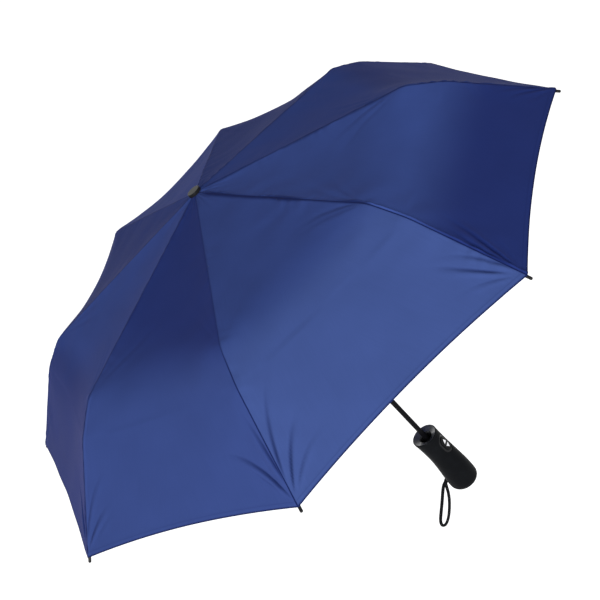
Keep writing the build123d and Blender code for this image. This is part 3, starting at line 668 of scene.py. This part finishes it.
def metal_material(name, colour, roughness, metallic=1.0, brushed=(1.0, 1.0, 1.0), specular=0.5):
    """Plated or painted metal, with fine drawn marks along the given direction."""
    n = Nodes(name)
    n.surface(metallic=metallic, specular_ior_level=specular)
    place = n.place()
    marks = n.noise(n.scaled(place, tuple(900.0 * b for b in brushed)), 1.0, detail=3.0)
    cloudy = n.noise(place, 60.0)
    darker = tuple(c * 0.75 for c in colour)
    n.colour(n.blend_colours(n.span(cloudy, 0.35, 0.7, 0.0, 1.0), colour, darker))
    n.roughness(n.span(marks, 0.3, 0.7, roughness - 0.06, roughness + 0.08))
    n.bump(marks, 0.15, 0.00005)
    return n.material


def webbing_material():
    """Flat woven band: ribs of yarn across it."""
    n = Nodes("strap_webbing")
    n.surface(specular_ior_level=0.02, sheen_weight=0.01, sheen_roughness=0.4)
    uv = n.place("UV")
    yarn = n.wave(uv, 300.0, "Y", 0.6)
    ribs = n.wave(uv, 420.0, "X", 0.4)
    height = n.math("ADD", n.math("MULTIPLY", yarn, 0.7), n.math("MULTIPLY", ribs, 0.5))
    fuzz = n.noise(n.place(), 900.0)
    n.colour(n.blend_colours(n.span(fuzz, 0.3, 0.7, 0.0, 1.0), STRAP_BLACK, STRAP_FUZZ))
    n.roughness(n.span(fuzz, 0.3, 0.7, 0.70, 0.85))
    n.bump(height, 0.8, 0.0003)
    return n.material


def restyle(material, *names):
    """Give CAD nodes a finished material."""
    for name in names:
        node = frame["nodes"][name]
        node.data.materials.clear()
        node.data.materials.append(material)


def second_finish(name, material, chosen):
    """Give some faces of a CAD node another material."""
    mesh = frame["nodes"][name].data
    mesh.materials.append(material)
    for face in mesh.polygons:
        face.material_index = int(chosen(face))


def faces_outwards(face):
    """Whether a face looks away from the shaft."""
    outwards = face.normal.x * face.center.x + face.normal.y * face.center.y
    return outwards > 0.2 * math.hypot(face.center.x, face.center.y)


def faces_up(face):
    """Whether a face is on top, square to the shaft."""
    return face.normal.z > 0.985


def numbered(name):
    """The names of a part's eight copies."""
    return [f"{name}_{k + 1}" for k in range(RIB_COUNT)]


def restyle_frame():
    along_shaft = (1.0, 1.0, 0.05)
    soft_touch = moulded_material("soft_touch_grip", SOFT_BLACK, 0.45, grain=0.35, specular=0.02)
    black_plastic = moulded_material("black_plastic", (0.014, 0.014, 0.015), 0.38)
    gloss_black = moulded_material("gloss_black", GLOSS_BLACK, 0.20, grain=0.05, coat=0.02, specular=0.10)
    graphite = moulded_material("graphite_gloss", (0.032, 0.033, 0.036), 0.24, grain=0.05, coat=0.8)
    painted = metal_material("painted_tube", PAINT_BLACK, 0.30, 0.0, brushed=along_shaft, specular=0.03)
    plated = metal_material("plated_steel", (0.26, 0.26, 0.27), 0.30)
    dark_steel = metal_material("dark_steel", (0.060, 0.060, 0.064), 0.36, metallic=0.8)
    anodised = metal_material("anodised_stretcher", (0.085, 0.085, 0.090), 0.34, metallic=0.8)
    fibre = moulded_material("glass_fibre", (0.018, 0.018, 0.019), 0.30, grain=0.2)
    silver = metal_material("silver_print", (0.80, 0.80, 0.82), 0.35, metallic=0.2)
    button_black = moulded_material("button_black", (0.0040, 0.0040, 0.0045), 0.32, grain=0.15, specular=0.05)
    # a lighter olive-grey painted reflection for the cap's top; its sides stay gloss black
    cap_top_painted_reflection = metal_material("cap_top_painted_reflection", (0.060, 0.062, 0.052), 0.38, metallic=0.3, specular=0.3)
    restyle(soft_touch, "grip")
    restyle(graphite, "collar")
    second_finish("collar", soft_touch, faces_outwards)
    restyle(black_plastic, "runner", "crown", "end_plug", "strap_eyelet", "catch_slider")
    restyle(button_black, "button")
    restyle(gloss_black, "tip_cup", "button_bezel", "ferrule_cap")
    # the cap's top faces get the painted reflection
    second_finish("ferrule_cap", cap_top_painted_reflection, faces_up)
    restyle(painted, "bottom_tube", "middle_tube", "upper_tube")
    restyle(plated, "crown_ring", "runner_ring")
    restyle(dark_steel, *numbered("inner_rib"), *numbered("middle_rib"))
    restyle(anodised, *numbered("stretcher"))
    restyle(fibre, *numbered("outer_rib"))
    restyle(gloss_black, *numbered("rib_tip"))
    restyle(silver, "button_mark")


# ---- wrist strap: a flat band along the route of its CAD tube, in metres ----
STRAP_WIDTH = 0.0055
STRAP_THICKNESS = 0.0022
STRAP_AXIS = Vector((0.667, 0.588, -0.458))     # the strap's loop lies square to this
STRAP_FLARE = math.radians(60)                 # how far its band leans out from that axis, as on a cone
STRAP_ROUTE = [
    (0.0026, 0.0246, -0.0480),
    (0.0026, 0.0310, -0.0480),
    (0.0008, 0.0352, -0.0516),
    (-0.0034, 0.0374, -0.0600),
    (-0.0074, 0.0406, -0.0720),
    (-0.0116, 0.0466, -0.0850),
    (-0.0164, 0.0544, -0.0984),
    (-0.0214, 0.0630, -0.1110),
    (-0.0256, 0.0714, -0.1200),
    (-0.0286, 0.0776, -0.1234),
    (-0.0302, 0.0810, -0.1196),
    (-0.0278, 0.0780, -0.1104),
    (-0.0230, 0.0698, -0.0984),
    (-0.0182, 0.0610, -0.0860),
    (-0.0138, 0.0526, -0.0738),
    (-0.0096, 0.0450, -0.0624),
    (-0.0058, 0.0384, -0.0536),
    (-0.0026, 0.0310, -0.0480),
    (-0.0026, 0.0246, -0.0480),
]


def spline_points(route):
    """Points along the smooth curve that has the route as its control points."""
    curve = bpy.data.curves.new("strap_line", "CURVE")
    curve.dimensions = "3D"
    spline = curve.splines.new("NURBS")
    spline.points.add(len(route) - 1)
    for point, place in zip(spline.points, route):
        point.co = (*place, 1.0)
    spline.order_u = 3
    spline.use_endpoint_u = True
    curve.resolution_u = 12
    holder = bpy.data.objects.new("strap_line", curve)
    bpy.context.scene.collection.objects.link(holder)
    bpy.context.view_layer.update()
    mesh = bpy.data.meshes.new_from_object(holder.evaluated_get(bpy.context.evaluated_depsgraph_get()))
    points = [v.co.copy() for v in mesh.vertices]
    bpy.data.objects.remove(holder)
    return points


def strap_section():
    """A flat band's section with rounded edges: (across, through) in metres."""
    half, thick = STRAP_WIDTH / 2, STRAP_THICKNESS / 2
    outline = []
    for k in range(20):
        angle = 2 * math.pi * k / 20
        across = math.copysign(abs(math.cos(angle)) ** 0.35, math.cos(angle)) * half
        through = math.copysign(abs(math.sin(angle)) ** 0.6, math.sin(angle)) * thick
        outline.append((across, through))
    return outline


def tube_faces(rings, count):
    """Quads round a tube of that many rings of points, closed at both ends."""
    faces = [tuple(range(count))[::-1], tuple(range((rings - 1) * count, rings * count))]
    for ring in range(rings - 1):
        for number in range(count):
            here, following = ring * count + number, ring * count + (number + 1) % count
            faces.append((here, following, following + count, here + count))
    return faces


def tube_piece(name, rings, material):
    """A closed tube through rings of points, on its own object."""
    mesh = bpy.data.meshes.new(name)
    mesh.from_pydata([point for ring in rings for point in ring], [], tube_faces(len(rings), len(rings[0])))
    mesh.shade_smooth()
    mesh.materials.append(material)
    piece = bpy.data.objects.new(name, mesh)
    bpy.context.scene.collection.objects.link(piece)
    return piece


def make_strap():
    line = spline_points(STRAP_ROUTE)
    section = strap_section()
    rings, uvs = [], []
    travelled = 0.0
    for index, point in enumerate(line):
        before, after = line[max(index - 1, 0)], line[min(index + 1, len(line) - 1)]
        forward = (after - before).normalized()
        side = STRAP_AXIS * math.cos(STRAP_FLARE) + forward.cross(STRAP_AXIS) * math.sin(STRAP_FLARE)
        side = (side - forward * side.dot(forward)).normalized()
        out = forward.cross(side)
        travelled += (point - before).length
        rings.append([point + side * across + out * through for across, through in section])
        uvs.extend((across, travelled) for across, _ in section)
    strap = tube_piece("wrist_strap", rings, webbing_material())
    layer = strap.data.uv_layers.new(name="band")
    for loop in strap.data.loops:
        layer.data[loop.index].uv = uvs[loop.vertex_index]
    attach(strap, "handle")
    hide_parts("strap")


# ---- push button's spring, fixed to the handle; the real one shortens as the button goes in ----
COIL_WIRE = 0.0003           # its radius
COIL_TURNS = 5
COIL_CLOSING = 0.6           # how much closer its end turns lie, from 0 to 1


def make_button_coil():
    """A coil in the place of the CAD one, from behind the button to its seat in the handle."""
    low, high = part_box("button_spring")
    height = (low[2] + high[2]) / 2
    radius = (high[0] - low[0]) / 2 - COIL_WIRE
    length = high[1] - low[1] - 2 * COIL_WIRE
    steps, sides = 24 * COIL_TURNS, 12
    line, outwards = [], []
    for step in range(steps + 1):
        share = step / steps
        angle = 2 * math.pi * COIL_TURNS * share
        out = Vector((math.cos(angle), 0.0, math.sin(angle)))
        forward = length * (share - COIL_CLOSING * math.sin(2 * math.pi * share) / (2 * math.pi))
        line.append(out * radius + Vector((0.0, high[1] - COIL_WIRE - forward, height)))
        outwards.append(out)
    turns = [2 * math.pi * number / sides for number in range(sides)]
    rings = []
    for index, (point, side) in enumerate(zip(line, outwards)):
        ahead = (line[min(index + 1, steps)] - line[max(index - 1, 0)]).normalized()
        side = (side - ahead * side.dot(ahead)).normalized()
        up = ahead.cross(side)
        rings.append([point + COIL_WIRE * (side * math.cos(turn) + up * math.sin(turn)) for turn in turns])
    coil = tube_piece("button_coil", rings, metal_material("spring_wire", (0.30, 0.30, 0.31), 0.28))
    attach(coil, "handle")
    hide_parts("button_spring")
    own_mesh(coil)


# ---- stage ----
CAMERA_LENS = 65.3
FIT_VIEW = Vector((-0.84091, -0.28838, -0.45793))
FIT_UP = Vector((-0.53774, 0.54041, 0.64714))
FIT_PLACE = Vector((2.86463, 0.99128, 1.46514))
RIM_HEIGHT = CROWN_HEIGHT - RIM_DROP
FLOOR_DROP = 0.55
ZENITH = 0.16                # brightness overhead, as a share of the horizon
KEY_POWER = 60.0
TOP_POWER = 6.0


def make_camera():
    """The camera stands in front and above, rolled so that the shaft runs down to the right."""
    turn = Matrix.Rotation(math.radians(-157.5), 4, "Z")
    forward = (turn @ FIT_VIEW).normalized()
    up = turn @ FIT_UP
    right = forward.cross(up).normalized()
    up = right.cross(forward)
    place = turn @ (FIT_PLACE * RIM_RADIUS) + Vector((0, 0, RIM_HEIGHT))
    data = bpy.data.cameras.new("camera")
    data.lens = CAMERA_LENS
    camera = bpy.data.objects.new("camera", data)
    rotation = Matrix((right, up, -forward)).transposed().to_4x4()
    camera.matrix_world = Matrix.Translation(place) @ rotation
    bpy.context.scene.collection.objects.link(camera)
    bpy.context.scene.camera = camera


def direction(azimuth, elevation):
    a, e = math.radians(azimuth), math.radians(elevation)
    return Vector((math.cos(a) * math.cos(e), math.sin(a) * math.cos(e), math.sin(e)))


def make_light(name, target, towards, distance, size, power):
    """A square softbox that the camera doesn't see, that far from its target."""
    data = bpy.data.lights.new(name, "AREA")
    data.shape = "SQUARE"
    data.size = size
    data.energy = power
    lamp = bpy.data.objects.new(name, data)
    turn = (-towards).to_track_quat("-Z", "Y").to_matrix().to_4x4()
    lamp.matrix_world = Matrix.Translation(target + towards * distance) @ turn
    lamp.visible_camera = False
    bpy.context.scene.collection.objects.link(lamp)


def make_world():
    """White up to a little over the horizon, and dimmer overhead, so that the cloth shows its shape."""
    world = bpy.data.worlds.new("studio")
    world.use_nodes = True
    tree = world.node_tree
    place = tree.nodes.new("ShaderNodeTexCoord")
    split = tree.nodes.new("ShaderNodeSeparateXYZ")
    fall = tree.nodes.new("ShaderNodeMapRange")
    fall.interpolation_type = "SMOOTHSTEP"
    for key, value in (("From Min", 0.14), ("From Max", 0.60), ("To Min", 1.0), ("To Max", ZENITH)):
        fall.inputs[key].default_value = value
    tree.links.new(place.outputs["Generated"], split.inputs["Vector"])
    tree.links.new(split.outputs["Z"], fall.inputs["Value"])
    background = tree.nodes["Background"]
    background.inputs["Color"].default_value = (1, 1, 1, 1)
    tree.links.new(fall.outputs["Result"], background.inputs["Strength"])
    bpy.context.scene.world = world


def make_floor():
    """A white floor that glows a little, as a lit paper sweep does."""
    low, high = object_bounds()
    size = 30.0
    mesh = bpy.data.meshes.new("floor")
    level = low[2] - FLOOR_DROP
    mesh.from_pydata(
        [(-size, -size, level), (size, -size, level), (size, size, level), (-size, size, level)],
        [], [(0, 1, 2, 3)],
    )
    floor = bpy.data.objects.new("floor", mesh)
    bpy.context.scene.collection.objects.link(floor)
    n = Nodes("floor_white")
    n.surface(base_color=(0.6, 0.6, 0.6, 1.0), roughness=0.9, specular_ior_level=0.0)
    n.surface(emission_color=(1.0, 1.0, 1.0, 1.0), emission_strength=0.95)
    n.see_through_from_behind()
    mesh.materials.append(n.material)


def make_stage():
    make_floor()
    make_world()
    centre = Vector((0, 0, RIM_HEIGHT))
    make_light("key", centre, direction(-152.0, 14.0), 2.2, 1.3, KEY_POWER)
    make_light("top", centre, direction(-135.0, 68.0), 2.0, 1.2, TOP_POWER)


FABRIC = fabric_material()
make_canopy()
make_strap()
make_button_coil()
restyle_frame()
make_camera()
make_stage()
bpy.context.scene.view_settings.view_transform = "Standard"
